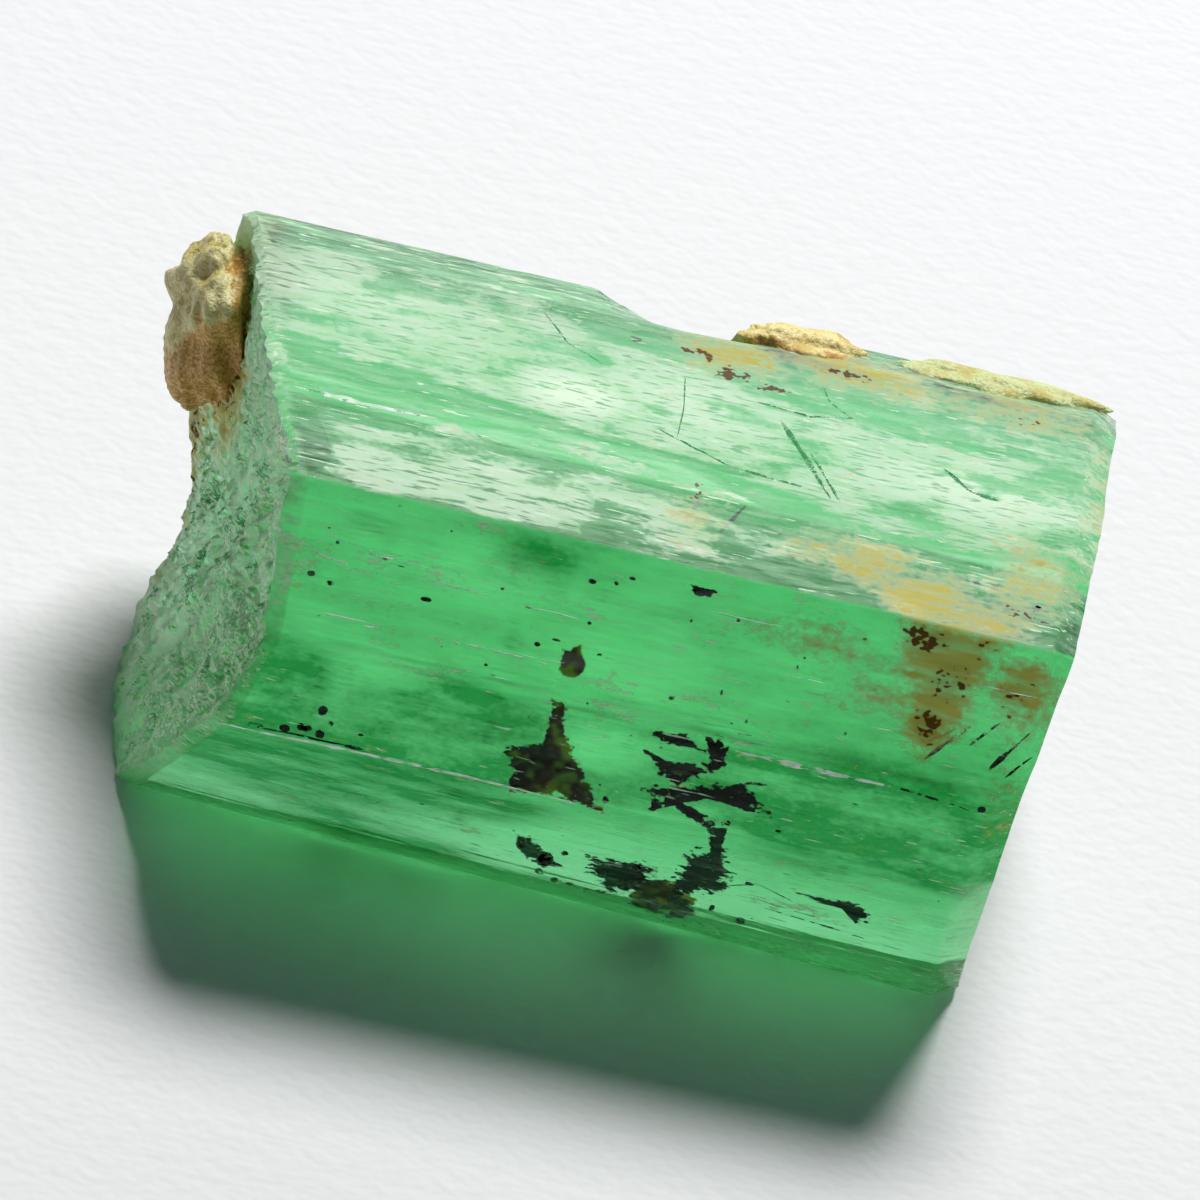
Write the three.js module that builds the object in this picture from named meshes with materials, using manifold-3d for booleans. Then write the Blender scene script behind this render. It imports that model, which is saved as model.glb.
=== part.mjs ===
// Raw emerald crystal, in millimetres, +Z up, resting on one of its own prism faces.
// One beryl prism with its long axis along X: a torn, rough end at -X and a clean oblique break at +X.
// Three scraps of limonite crust still cling to its back edge and to the torn end.
import * as THREE from "three";
import { mergeVertices } from "three/addons/utils/BufferGeometryUtils.js";
import Module from "manifold-3d";

// Driving dimensions.
const HEIGHT = 5.5; // from the resting face to the top face
const STEP = { torn: 0.03, broken: 0.1 }; // drop from the top face's back part to its front strip
const FRONT_DROP = 0.14; // how far that strip's front edge lies below the top at the broken end
const RIM_DROP = { torn: 0.16, broken: 0.2 }; // fall of the narrow bevel behind the top face
const CHAMFER = { torn: 0.12, broken: 0.28 }; // length of the worn chamfer round each end, along X
const CHAMFER_INSET = { torn: 0.98, broken: 0.955 }; // size of the section inside that chamfer
const STRIA_DEPTH = 0.02; // growth grooves that run along the prism faces
const TEAR_DEPTH = 0.11; // relief of the torn end
const BREAK_DEPTH = 0.03; // relief of the broken end
const TORN_PLANE = { x: -4.3, byY: -0.125, byZ: 0.09 }; // where the torn end lies, and how it leans
const BREAK_PLANE = { x: 5.03, byY: 0.1, byZ: 0 }; // the same for the broken end
const CRUST_FIT = 1.012; // size of the crystal that each crust is cut to, so that the two stay clear
const CRUST_DETAIL = 7; // subdivision of each crust's faceted ball

// The resting section's middle, towards which both end faces are drawn in.
const CORE = { y: 0.3, z: 2.7 };

// Long edges of the prism, in order round the section seen from +X, starting under its back.
// torn and broken: [y, z] in the section at each end; reach: x of each end at that edge;
// steps: divisions of the face between this edge and the next one.
const EDGES = [
  { name: "back foot", torn: [1.6, 0], broken: [1.6, 0], reach: [-4.66, 5.2], steps: 3 },
  { name: "back waist", torn: [2.45, 1.2], broken: [2.5, 1.3], reach: [-4.28, 5.2], steps: 4 },
  { name: "back corner", torn: [3.45, 2.68], broken: [3.45, 2.68], reach: [-4.7, 5.18], steps: 7 },
  {
    name: "rim",
    torn: [2.5, HEIGHT - RIM_DROP.torn],
    broken: [2.42, HEIGHT - RIM_DROP.broken],
    reach: [-4.56, 5.13],
    steps: 2,
  },
  { name: "top back", torn: [1.85, HEIGHT], broken: [1.85, HEIGHT], reach: [-4.43, 5.12], steps: 6 },
  { name: "step head", torn: [-0.17, HEIGHT], broken: [-0.47, HEIGHT], reach: [-4.02, 5.04], steps: 1 },
  {
    name: "step foot",
    torn: [-0.55, HEIGHT - STEP.torn],
    broken: [-0.85, HEIGHT - STEP.broken],
    reach: [-3.94, 5.01],
    steps: 4,
  },
  {
    name: "top front",
    torn: [-1.84, HEIGHT - STEP.torn],
    broken: [-1.92, HEIGHT - FRONT_DROP],
    reach: [-3.6, 4.95],
    steps: 5,
  },
  { name: "upper bevel", torn: [-2.78, 3.86], broken: [-2.82, 3.81], reach: [-3.52, 4.7], steps: 3 },
  { name: "lower bevel", torn: [-2.82, 2.7], broken: [-2.82, 2.7], reach: [-3.81, 4.69], steps: 7 },
  { name: "front foot", torn: [-1.04, 0], broken: [-1.66, 0], reach: [-4.55, 4.77], steps: 3 },
  { name: "foot middle", torn: [0.4, 0], broken: [0.2, 0], reach: [-4.86, 5.0], steps: 3 },
];

// Rows of points from the middle of the torn end to the middle of the broken end.
const ROWS = { torn: 8, body: 26, broken: 7 };

// The chip that has broken out of the rim behind the top face: its middle and half length along X,
// and how deep it goes into the back and down.
const RIM_CHIP = { x: 0.5, half: 1.15, back: 0.38, down: 0.12 };

const AROUND = EDGES.reduce((sum, edge) => sum + edge.steps, 0);
const RUN = ROWS.torn + ROWS.body + ROWS.broken;

const lerp = THREE.MathUtils.lerp;

// A value between two edges of the prism, for each of the AROUND places round the section.
function roundSection(place) {
  let index = place % AROUND;
  for (let i = 0; i < EDGES.length; i++) {
    const edge = EDGES[i];
    if (index < edge.steps) {
      const next = EDGES[(i + 1) % EDGES.length];
      return { edge, next, part: index / edge.steps };
    }
    index -= edge.steps;
  }
  throw new Error("no such place round the section");
}

// Two crossed waves with a finer pair on them, between about -1 and 1.
function relief(a, b) {
  const broad = Math.sin(2.3 * a + 0.7) * Math.cos(1.9 * b - 0.4);
  const fine = Math.sin(6.1 * a + 2.9 * b) * Math.cos(4.7 * b - 3.1 * a);
  return 0.65 * broad + 0.35 * fine;
}

// Section point at a place round the prism, at a share of the way from the torn end to the broken one.
function sectionPoint(place, along) {
  const { edge, next, part } = roundSection(place);
  const mixed = (i) => {
    const here = lerp(edge.torn[i], edge.broken[i], along);
    const there = lerp(next.torn[i], next.broken[i], along);
    return lerp(here, there, part);
  };
  return { y: mixed(0), z: mixed(1) };
}

// How far each end reaches along X at a place round the prism.
function reachAt(place, end) {
  const { edge, next, part } = roundSection(place);
  return lerp(edge.reach[end], next.reach[end], part);
}

// A point on the long faces: shallow grooves along the growth direction, and the chip in the rim.
function facePoint(place, along) {
  const x0 = reachAt(place, 0) + CHAMFER.torn;
  const x1 = reachAt(place, 1) - CHAMFER.broken;
  const x = lerp(x0, x1, along);
  const { y, z } = sectionPoint(place, along);
  const { edge } = roundSection(place);
  if (z === 0) return new THREE.Vector3(x, y, z);
  const groove = STRIA_DEPTH * Math.sin(2.7 * place) * (0.6 + 0.4 * Math.sin(1.3 * x + place));
  const out = new THREE.Vector2(y - CORE.y, z - CORE.z).normalize().multiplyScalar(groove);
  const point = new THREE.Vector3(x, y + out.x, Math.min(z + out.y, HEIGHT));
  if (edge.name === "rim") {
    const near = Math.max(0, 1 - ((x - RIM_CHIP.x) / RIM_CHIP.half) ** 2);
    point.y -= RIM_CHIP.back * near;
    point.z -= RIM_CHIP.down * near;
  }
  return point;
}

// A point on an end face: the section drawn in towards its middle, on a leaning plane with relief.
function endPoint(place, size, end) {
  const edge = sectionPoint(place, end);
  const y = lerp(CORE.y, edge.y, size);
  const z = lerp(CORE.z, edge.z, size);
  const torn = end === 0;
  const plane = torn ? TORN_PLANE : BREAK_PLANE;
  const depth = torn ? TEAR_DEPTH : BREAK_DEPTH;
  const inner = plane.x + plane.byY * y + plane.byZ * z + depth * relief(y, z);
  const x = lerp(inner, reachAt(place, end), size ** 2);
  return new THREE.Vector3(x, y, z);
}

// The crystal's skin: row 0 is the middle of the torn end, row RUN the middle of the broken end.
function skinPoint(place, row) {
  if (row < ROWS.torn) return endPoint(place, (CHAMFER_INSET.torn * row) / (ROWS.torn - 1), 0);
  const bodyRow = row - ROWS.torn;
  if (bodyRow <= ROWS.body) return facePoint(place, bodyRow / ROWS.body);
  const left = RUN - row;
  return endPoint(place, (CHAMFER_INSET.broken * left) / (ROWS.broken - 1), 1);
}

// A sphere's grid of points, carried onto the crystal's skin: round the prism by u, along it by v.
function crystalGeometry() {
  const skin = new THREE.SphereGeometry(1, AROUND, RUN);
  const { position, uv } = skin.attributes;
  for (let i = 0; i < position.count; i++) {
    const row = Math.round(uv.getY(i) * RUN);
    const place = row === 0 || row === RUN ? 0 : Math.round(uv.getX(i) * AROUND) % AROUND;
    const point = skinPoint(place, row);
    position.setXYZ(i, point.x, point.y, point.z);
  }
  return closed(skin);
}

// The same mesh with its shared vertices merged, so that it is one closed surface.
function closed(geometry) {
  geometry.deleteAttribute("normal");
  geometry.deleteAttribute("uv");
  return mergeVertices(geometry, 1e-4);
}

// A knobbly ball of crust, before it is cut to the crystal.
function crustBall({ middle, radii, turn, seed }) {
  const ball = new THREE.IcosahedronGeometry(1, CRUST_DETAIL);
  const { position } = ball.attributes;
  const point = new THREE.Vector3();
  for (let i = 0; i < position.count; i++) {
    point.fromBufferAttribute(position, i);
    const knobs = 0.13 * relief(2 * point.x + seed, 2 * point.y - seed);
    const bands = 0.06 * Math.sin(7 * point.z + seed);
    point.multiplyScalar(1 + knobs + bands);
    position.setXYZ(i, point.x, point.y, point.z);
  }
  ball.scale(...radii);
  ball.rotateX(turn);
  ball.translate(...middle);
  return closed(ball);
}

const wasm = await Module();
wasm.setup();

function solidFrom(geometry) {
  const { position } = geometry.attributes;
  return new wasm.Manifold(
    new wasm.Mesh({
      numProp: 3,
      vertProperties: new Float32Array(position.array),
      triVerts: new Uint32Array(geometry.index.array),
    }),
  );
}

function geometryFrom(solid) {
  const { vertProperties, triVerts } = solid.getMesh();
  const geometry = new THREE.BufferGeometry();
  geometry.setAttribute("position", new THREE.BufferAttribute(vertProperties, 3));
  geometry.setIndex(new THREE.BufferAttribute(triVerts, 1));
  return geometry;
}

// The largest body of a cut, because a ball can leave a crumb on the far side of an edge.
function largestBody(solid) {
  return solid.decompose().reduce((best, body) => (body.volume() > best.volume() ? body : best));
}

const crystal = crystalGeometry();

// The crystal swollen a little about its own middle, so that each crust is cut clear of it.
const swollen = crystal.clone();
swollen.translate(0, -CORE.y, -CORE.z);
swollen.scale(CRUST_FIT, CRUST_FIT, CRUST_FIT);
swollen.translate(0, CORE.y, CORE.z);
const cutter = solidFrom(swollen);

const CRUSTS = [
  {
    name: "limonite_crust_end",
    ball: { middle: [-4.62, 2.14, 4.15], radii: [0.58, 0.92, 0.98], turn: 0.3, seed: 0.6 },
    finish: { color: 0xb79a55, roughness: 0.85, metalness: 0 },
  },
  {
    name: "limonite_crust_top",
    ball: { middle: [1.66, 2.2, 5.25], radii: [0.7, 0.36, 0.27], turn: -0.3, seed: 2.1 },
    finish: { color: 0xc9c176, roughness: 0.8, metalness: 0 },
  },
  {
    name: "limonite_crust_corner",
    ball: { middle: [3.8, 2.22, 5.29], radii: [1.2, 0.34, 0.2], turn: -0.25, seed: 4.4 },
    finish: { color: 0xbac672, roughness: 0.75, metalness: 0 },
  },
];

function part(name, geometry, finish) {
  const mesh = new THREE.Mesh(geometry, new THREE.MeshStandardMaterial(finish));
  mesh.name = name;
  return mesh;
}

const specimen = new THREE.Group();
specimen.add(part("emerald_crystal", crystal, { color: 0x4fae64, roughness: 0.15, metalness: 0 }));
for (const { name, ball, finish } of CRUSTS) {
  const cut = largestBody(solidFrom(crustBall(ball)).subtract(cutter));
  specimen.add(part(name, geometryFrom(cut), finish));
}

// The origin is under the middle of the whole specimen's box, on the surface that it rests on.
const middle = new THREE.Box3().setFromObject(specimen).getCenter(new THREE.Vector3());
for (const piece of specimen.children) piece.geometry.translate(-middle.x, -middle.y, 0);

export default specimen;
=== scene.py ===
"""A raw emerald crystal on white paper, laid out as an add-on and run as a script.

Lengths in the tables are millimetres in the frame's axes: X along the prism, Y to the back, Z up.
"""

import math

import bpy
import numpy as np
from bpy.props import FloatProperty, PointerProperty, StringProperty
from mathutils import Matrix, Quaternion, Vector


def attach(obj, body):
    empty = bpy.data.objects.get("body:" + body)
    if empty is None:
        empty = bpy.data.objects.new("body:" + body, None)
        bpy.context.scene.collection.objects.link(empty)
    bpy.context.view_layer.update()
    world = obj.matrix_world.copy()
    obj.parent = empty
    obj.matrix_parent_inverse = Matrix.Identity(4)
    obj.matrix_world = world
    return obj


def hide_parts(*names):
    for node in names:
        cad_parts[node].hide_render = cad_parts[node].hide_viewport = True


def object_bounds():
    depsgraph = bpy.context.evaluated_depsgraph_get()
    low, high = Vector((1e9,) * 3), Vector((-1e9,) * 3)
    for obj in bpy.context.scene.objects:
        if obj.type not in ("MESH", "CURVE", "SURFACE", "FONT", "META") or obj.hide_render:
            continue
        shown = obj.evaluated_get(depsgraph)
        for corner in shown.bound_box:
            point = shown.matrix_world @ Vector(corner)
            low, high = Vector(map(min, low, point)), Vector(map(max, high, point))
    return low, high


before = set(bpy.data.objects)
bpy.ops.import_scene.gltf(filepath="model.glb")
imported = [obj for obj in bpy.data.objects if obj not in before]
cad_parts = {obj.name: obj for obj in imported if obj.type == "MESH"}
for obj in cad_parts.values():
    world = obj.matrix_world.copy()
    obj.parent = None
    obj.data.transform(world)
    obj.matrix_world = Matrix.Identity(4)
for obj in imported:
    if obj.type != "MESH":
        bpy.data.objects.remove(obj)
CAD_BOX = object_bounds()

bl_info = {
    "name": "Raw emerald crystal",
    "version": (1, 0, 0),
    "blender": (4, 5, 0),
    "location": "3D View > Sidebar > Emerald",
    "description": "Grows a raw emerald crystal, its crusts and what is sealed in it, round a packed frame",
    "category": "Add Mesh",
}

MM = 0.001
MICRON = 1e-6
SEED = 20

# The prism is drawn about its own axis; this is where that axis lies in the frame.
PRISM_SHIFT = np.array([0.011, -0.306, 0.0])
HEIGHT = 5.5
CORE = (0.3, 2.7)  # y and z of the section's middle, towards which the end faces are drawn in

# Long edges of the prism, in order round the section seen from +X. For each: the section point at the
# torn end and at the broken end, the x that each end reaches there, and for the face that follows it the
# number of samples, the depth of its growth grooves in microns, how milky its skin is, how near it is to
# frosted and how dark its tint is: dark cloudy stone, and painted shade on the steep front faces.
EDGES = (
    ("back foot", (1.6, 0.0), (1.6, 0.0), (-4.66, 5.2), 34, 7, 0.1, 0.12, 0.1),
    ("back waist", (2.45, 1.2), (2.5, 1.3), (-4.28, 5.2), 42, 7, 0.1, 0.15, 0.1),
    ("back corner", (3.45, 2.68), (3.45, 2.68), (-4.7, 5.18), 80, 7, 0.12, 0.2, 0.1),
    ("rim", (2.5, 5.34), (2.42, 5.3), (-4.56, 5.13), 24, 5, 0.35, 0.25, 0.0),
    ("top back", (1.85, 5.5), (1.85, 5.5), (-4.43, 5.12), 84, 6, 0.18, 0.25, 0.0),
    ("step head", (-0.17, 5.5), (-0.47, 5.5), (-4.02, 5.04), 16, 5, 0.18, 0.2, 0.0),
    ("step foot", (-0.55, 5.47), (-0.85, 5.4), (-3.94, 5.01), 46, 6, 0.18, 0.25, 0.0),
    ("top front", (-1.84, 5.47), (-1.92, 5.36), (-3.6, 4.95), 70, 4, 0.1, 0.15, 0.4),
    ("upper bevel", (-2.78, 3.86), (-2.82, 3.81), (-3.52, 4.7), 42, 4, 0.04, 0.1, 0.8),
    ("lower bevel", (-2.82, 2.7), (-2.82, 2.7), (-3.81, 4.69), 96, 5, 0.03, 0.1, 0.5),
    ("front foot", (-1.04, 0.0), (-1.66, 0.0), (-4.55, 4.77), 26, 0, 0.15, 0.2, 0.0),
    ("foot middle", (0.4, 0.0), (0.2, 0.0), (-4.86, 5.0), 20, 0, 0.15, 0.2, 0.0),
)
FACES = [edge[0] for edge in EDGES]
TORN_X, BROKEN_X = -4.3, 5.0  # where the section is the torn end's and the broken end's
ROWS = {"torn": 38, "body": 96, "broken": 20}  # rings of points
CHAMFER = {"torn": 0.12, "broken": 0.28}  # from an end's rim to the first full ring of the body
INSET = {"torn": 0.98, "broken": 0.955}  # size of an end's rim as a share of the section
TORN_PLANE = (-4.3, -0.125, 0.09)  # x of each end: at the axis, and its slope along y and z
BROKEN_PLANE = (5.03, 0.1, 0.0)
RIM_FADE = 0.75  # how much of an end's relief is gone at its rim
RIM_WIDTH = 0.1  # share of the torn end that is worn smooth at its rim
WORN = 0.2  # how rough that rim still is
EDGE_WEAR = 2  # smoothing passes that round the long edges, about 0.03 mm
TEAR_SWEEP = 90  # smoothing passes on the outline of the two ends
# The chip in the back edge: its middle, half its length, how far it goes back and down, and its width.
RIM_CHIP = {"x": 0.5, "half": 1.15, "back": 0.38, "down": 0.12, "width": 0.42}

# The frosted parts of the top face: the front and the back outline of each, as places of x and y.
FROSTED = (
    (
        ((-4.0, 0.1), (-2.6, -0.1), (-1.2, -0.3), (-0.5, -0.5), (-0.4, -0.3), (0.1, -0.45), (1.4, -0.9),
         (3.0, -1.0), (4.9, -0.85)),
        ((-4.3, 1.75), (-3.0, 1.5), (-1.9, 1.7), (-0.8, 1.35), (-0.3, 1.05), (1.2, 0.85), (2.8, 0.7),
         (3.4, 1.05), (4.7, 1.2)),
    ),
    (
        ((-3.45, -1.1), (-2.9, -2.1), (-0.45, -2.15), (-0.3, -1.5), (0.8, -1.85), (1.6, -1.5)),
        ((-3.45, -1.1), (-0.3, -1.1), (0.8, -1.2), (1.6, -1.5)),
    ),
)
# Patches of the skin: middle, radii and strength, laid over the crystal as soft ellipsoids.
# Ochre is limonite soaked into the surface and rust is where it turns brown; glare is a painted highlight,
# the frost made whitest where the light's reflection lies on the top, and clear is where frost has worn off;
# shade darkens the tint, partly dark cloudy stone just under the skin and partly painted shade on the steep
# front faces, glow takes that darkening off where the stone is clearest, and mist is where the skin is worn
# milky.
PATCHES = {
    "ochre": (
        ((2.1, -1.4, 5.45), (0.5, 0.3, 0.3), 0.75),
        ((2.7, -1.55, 5.42), (0.55, 0.35, 0.3), 1.15),
        ((3.3, -1.8, 5.4), (0.55, 0.4, 0.3), 1.3),
        ((3.85, -2.05, 5.35), (0.5, 0.35, 0.35), 1.2),
        ((4.2, -1.7, 5.4), (0.35, 0.4, 0.3), 0.84),
        ((3.55, -2.4, 5.05), (0.5, 0.35, 0.45), 1.6),
        ((3.65, -2.6, 4.7), (0.35, 0.3, 0.4), 1.6),
        ((3.56, -2.8, 4.4), (0.25, 0.25, 0.3), 1.3),
        ((2.5, -2.45, 4.95), (0.7, 0.3, 0.3), 0.54),
        ((3.0, -2.6, 4.65), (0.6, 0.25, 0.3), 0.54),
        ((4.5, -2.45, 4.85), (0.4, 0.4, 0.5), 1.1),
        ((4.6, -3.1, 3.9), (0.3, 0.3, 0.5), 0.48),
        ((4.4, -1.2, 5.4), (0.5, 0.6, 0.3), 0.85),
        ((0.9, 1.35, 5.5), (0.7, 0.4, 0.3), 1.1),
        ((2.1, 1.5, 5.4), (1.0, 0.4, 0.3), 1.1),
        ((4.1, 1.4, 5.4), (1.1, 0.35, 0.3), 0.9),
        ((5.0, 0.6, 5.3), (0.25, 1.6, 0.5), 0.54),
        ((-4.35, 1.1, 3.9), (0.5, 0.7, 0.9), 1.3),
        ((-4.5, 2.1, 2.7), (0.4, 0.6, 1.2), 1.3),
        ((-4.6, 1.7, 1.0), (0.4, 0.5, 0.8), 0.72),
        ((0.7, -1.4, 5.4), (0.35, 0.4, 0.3), 0.6),
    ),
    "rust": (
        ((3.34, -2.25, 5.2), (0.35, 0.2, 0.2), 0.85),
        ((3.7, -2.5, 4.85), (0.25, 0.2, 0.35), 0.75),
        ((3.56, -2.75, 4.45), (0.2, 0.2, 0.3), 0.85),
        ((4.0, -2.25, 5.1), (0.15, 0.2, 0.3), 0.65),
        ((4.35, -1.75, 5.4), (0.35, 0.15, 0.2), 0.7),
        ((4.4, -2.5, 4.85), (0.3, 0.3, 0.4), 0.55),
        ((0.5, 1.2, 5.5), (0.3, 0.12, 0.3), 0.85),
        ((0.95, 1.0, 5.5), (0.25, 0.15, 0.3), 0.95),
        ((1.35, 0.9, 5.5), (0.35, 0.1, 0.3), 0.8),
        ((2.1, 1.4, 5.5), (0.5, 0.1, 0.2), 0.8),
        ((4.1, 1.25, 5.5), (0.5, 0.1, 0.2), 0.65),
        ((-4.35, 1.1, 3.95), (0.4, 0.5, 0.8), 0.75),
        ((-4.5, 2.0, 2.6), (0.4, 0.4, 0.9), 0.8),
        ((-4.55, 1.9, 1.5), (0.4, 0.3, 0.6), 0.6),
        ((0.7, -1.0, 5.45), (0.1, 0.15, 0.2), 0.8),
    ),
    "painted_glare": (
        ((-0.75, 0.1, 5.5), (0.5, 0.3, 0.4), 1.3),
        ((0.4, 0.3, 5.5), (0.9, 0.4, 0.4), 0.45),
        ((3.7, -0.1, 5.5), (1.0, 0.35, 0.4), 0.7),
        ((-3.0, 1.0, 5.5), (1.0, 0.4, 0.4), 0.3),
        ((-1.5, -1.6, 5.5), (2.2, 0.5, 0.4), 0.4),
    ),
    "clear": (
        ((-0.6, 0.75, 5.5), (0.25, 0.12, 0.3), 0.9),
        ((-3.7, -1.5, 5.4), (0.4, 0.6, 0.4), 1.2),
        ((3.6, 0.6, 5.5), (0.35, 0.12, 0.3), 1.0),
        ((4.15, 0.7, 5.5), (0.2, 0.1, 0.3), 1.0),
        ((2.3, 0.65, 5.5), (1.2, 0.2, 0.3), 0.5),
    ),
    "shade": (
        ((-1.35, -3.1, 3.35), (0.8, 0.4, 0.5), 1.0),
        ((-1.0, -2.75, 2.0), (0.9, 0.5, 0.45), 1.0),
        ((-1.7, -3.0, 2.4), (0.6, 0.5, 0.5), 1.0),
        ((-0.8, -3.1, 3.0), (0.4, 0.4, 0.4), 0.8),
        ((-3.5, -3.2, 3.4), (0.6, 0.5, 0.7), 0.9),
        ((-0.55, -2.25, 5.25), (0.6, 0.3, 0.25), 0.7),
        ((-1.8, -1.9, 0.5), (0.9, 0.5, 0.4), 0.8),
        ((-2.9, -2.5, 1.9), (1.1, 0.7, 1.0), 0.9),
        ((3.5, -3.1, 3.2), (1.5, 0.5, 1.0), 0.7),
    ),
    "mist": (
        ((-1.0, -1.55, 0.2), (4.5, 0.6, 0.4), 0.2),
        ((3.2, -1.95, 0.2), (2.2, 0.6, 0.4), 0.25),
    ),
    "glow": (
        ((-2.1, -3.1, 3.8), (0.55, 0.3, 0.25), 0.8),
        ((0.4, -2.85, 4.3), (0.7, 0.4, 0.45), 0.4),
        ((0.25, -3.1, 3.5), (0.45, 0.3, 0.3), 0.9),
        ((0.9, -2.3, 1.3), (1.6, 0.9, 1.0), 1.0),
        ((3.2, -2.3, 1.3), (1.6, 0.9, 1.0), 0.5),
        ((-1.4, -2.45, 4.9), (1.3, 0.3, 0.3), 0.4),
        ((3.3, -2.0, 0.7), (1.6, 0.8, 0.8), 0.7),
    ),
}


def linear(code):
    """An sRGB hex colour as linear red, green, blue and full alpha."""
    parts = [int(code[i : i + 2], 16) / 255 for i in (1, 3, 5)]
    return [c / 12.92 if c <= 0.04045 else ((c + 0.055) / 1.055) ** 2.4 for c in parts] + [1.0]


# ---- surfaces ----


def noise(u, v, seed):
    """Smooth random heights from -1 to 1: a seeded grid of values, blended by 3t^2 - 2t^3 between them."""
    side = 128
    grid = np.random.default_rng(SEED + seed).uniform(-1, 1, (side, side))
    column, row = np.floor(u).astype(int), np.floor(v).astype(int)
    a, b = u - column, v - row
    a, b = a * a * (3 - 2 * a), b * b * (3 - 2 * b)
    column, row = column % side, row % side
    right, above = (column + 1) % side, (row + 1) % side
    low = grid[column, row] * (1 - a) + grid[right, row] * a
    high = grid[column, above] * (1 - a) + grid[right, above] * a
    return low * (1 - b) + high * b


def ridges(u, v, seed):
    """Sharp crests between rounded troughs, from 0 to 1: one minus the size of the noise."""
    return 1 - np.abs(noise(u, v, seed))


def smooth_ring(values, passes):
    """Values round a closed ring, each pass making one half of itself and a quarter of each neighbour."""
    for _ in range(passes):
        values = 0.5 * values + 0.25 * (np.roll(values, 1, 0) + np.roll(values, -1, 0))
    return values


def blobs(points, patches):
    """The strongest of several soft ellipsoids at each point: full at 0.4 of its radii, 0 at 1.5 of them."""
    made = np.zeros(points.shape[:-1])
    for middle, radii, strength in patches:
        far = np.linalg.norm((points - np.array(middle)) / np.array(radii), axis=-1)
        made = np.maximum(made, strength * np.clip((1.5 - far) / 1.1, 0, 1))
    return made


def frosted(points):
    """How far inside a frosted outline a place on top lies: 0.5 on the outline, 1 from 0.12 mm inside."""
    x, y, z = np.moveaxis(points, -1, 0)
    made = np.zeros(x.shape)
    for front, back in FROSTED:
        front, back = (np.interp(x, *np.array(outline).T) for outline in (front, back))
        made = np.maximum(made, np.clip(np.minimum(y - front, back - y) / 0.24 + 0.5, 0, 1))
    return made * (z > 5.25)


def mesh_object(name, points, faces, material, smooth_angle=30):
    """A mesh object from points in millimetres, smooth where its faces meet at less than the angle."""
    mesh = bpy.data.meshes.new(name)
    mesh.from_pydata((np.asarray(points) * MM).tolist(), [], faces)
    mesh.polygons.foreach_set("use_smooth", np.ones(len(mesh.polygons), bool))
    mesh.set_sharp_from_angle(angle=math.radians(smooth_angle))
    mesh.materials.append(material)
    made = bpy.data.objects.new(name, mesh)
    bpy.context.scene.collection.objects.link(made)
    return made


def add_attribute(piece, name, values):
    """One number a point, for the material to read."""
    layer = piece.data.attributes.new(name, "FLOAT", "POINT")
    layer.data.foreach_set("value", np.asarray(values, np.float32).ravel())


def ring_faces(rows, around):
    """Quads between rings of points, and a fan of triangles from each end ring to the end point."""
    start = 1 + np.arange(rows - 1)[:, None] * around
    here = np.arange(around)
    there = (here + 1) % around
    quads = np.stack([start + here, start + there, start + around + there, start + around + here], -1)
    last, final = 1 + rows * around, 1 + (rows - 1) * around
    first_fan = np.stack([0 * here, 1 + there, 1 + here], -1)
    last_fan = np.stack([last + 0 * here, final + here, final + there], -1)
    return first_fan.tolist() + quads.reshape(-1, 4).tolist() + last_fan.tolist()


def section_rings():
    """The section's corners sampled round it: y and z at each end, each end's reach, finish and face."""
    columns = []
    for i, (_, torn, broken, reach, samples, *finish) in enumerate(EDGES):
        _, torn_next, broken_next, reach_next, *_ = EDGES[(i + 1) % len(EDGES)]
        share = np.arange(samples)[:, None] / samples
        here = np.array([*torn, *broken, *reach])
        there = np.array([*torn_next, *broken_next, *reach_next])
        columns.append(np.hstack([here * (1 - share) + there * share, np.tile([*finish, i], (samples, 1))]))
    ring = np.vstack(columns)
    ring[:, :4] = smooth_ring(ring[:, :4], EDGE_WEAR)
    ring[:, 4:6] = smooth_ring(ring[:, 4:6], TEAR_SWEEP)
    ring[:, 6:10] = smooth_ring(ring[:, 6:10], 2)
    return ring


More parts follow.
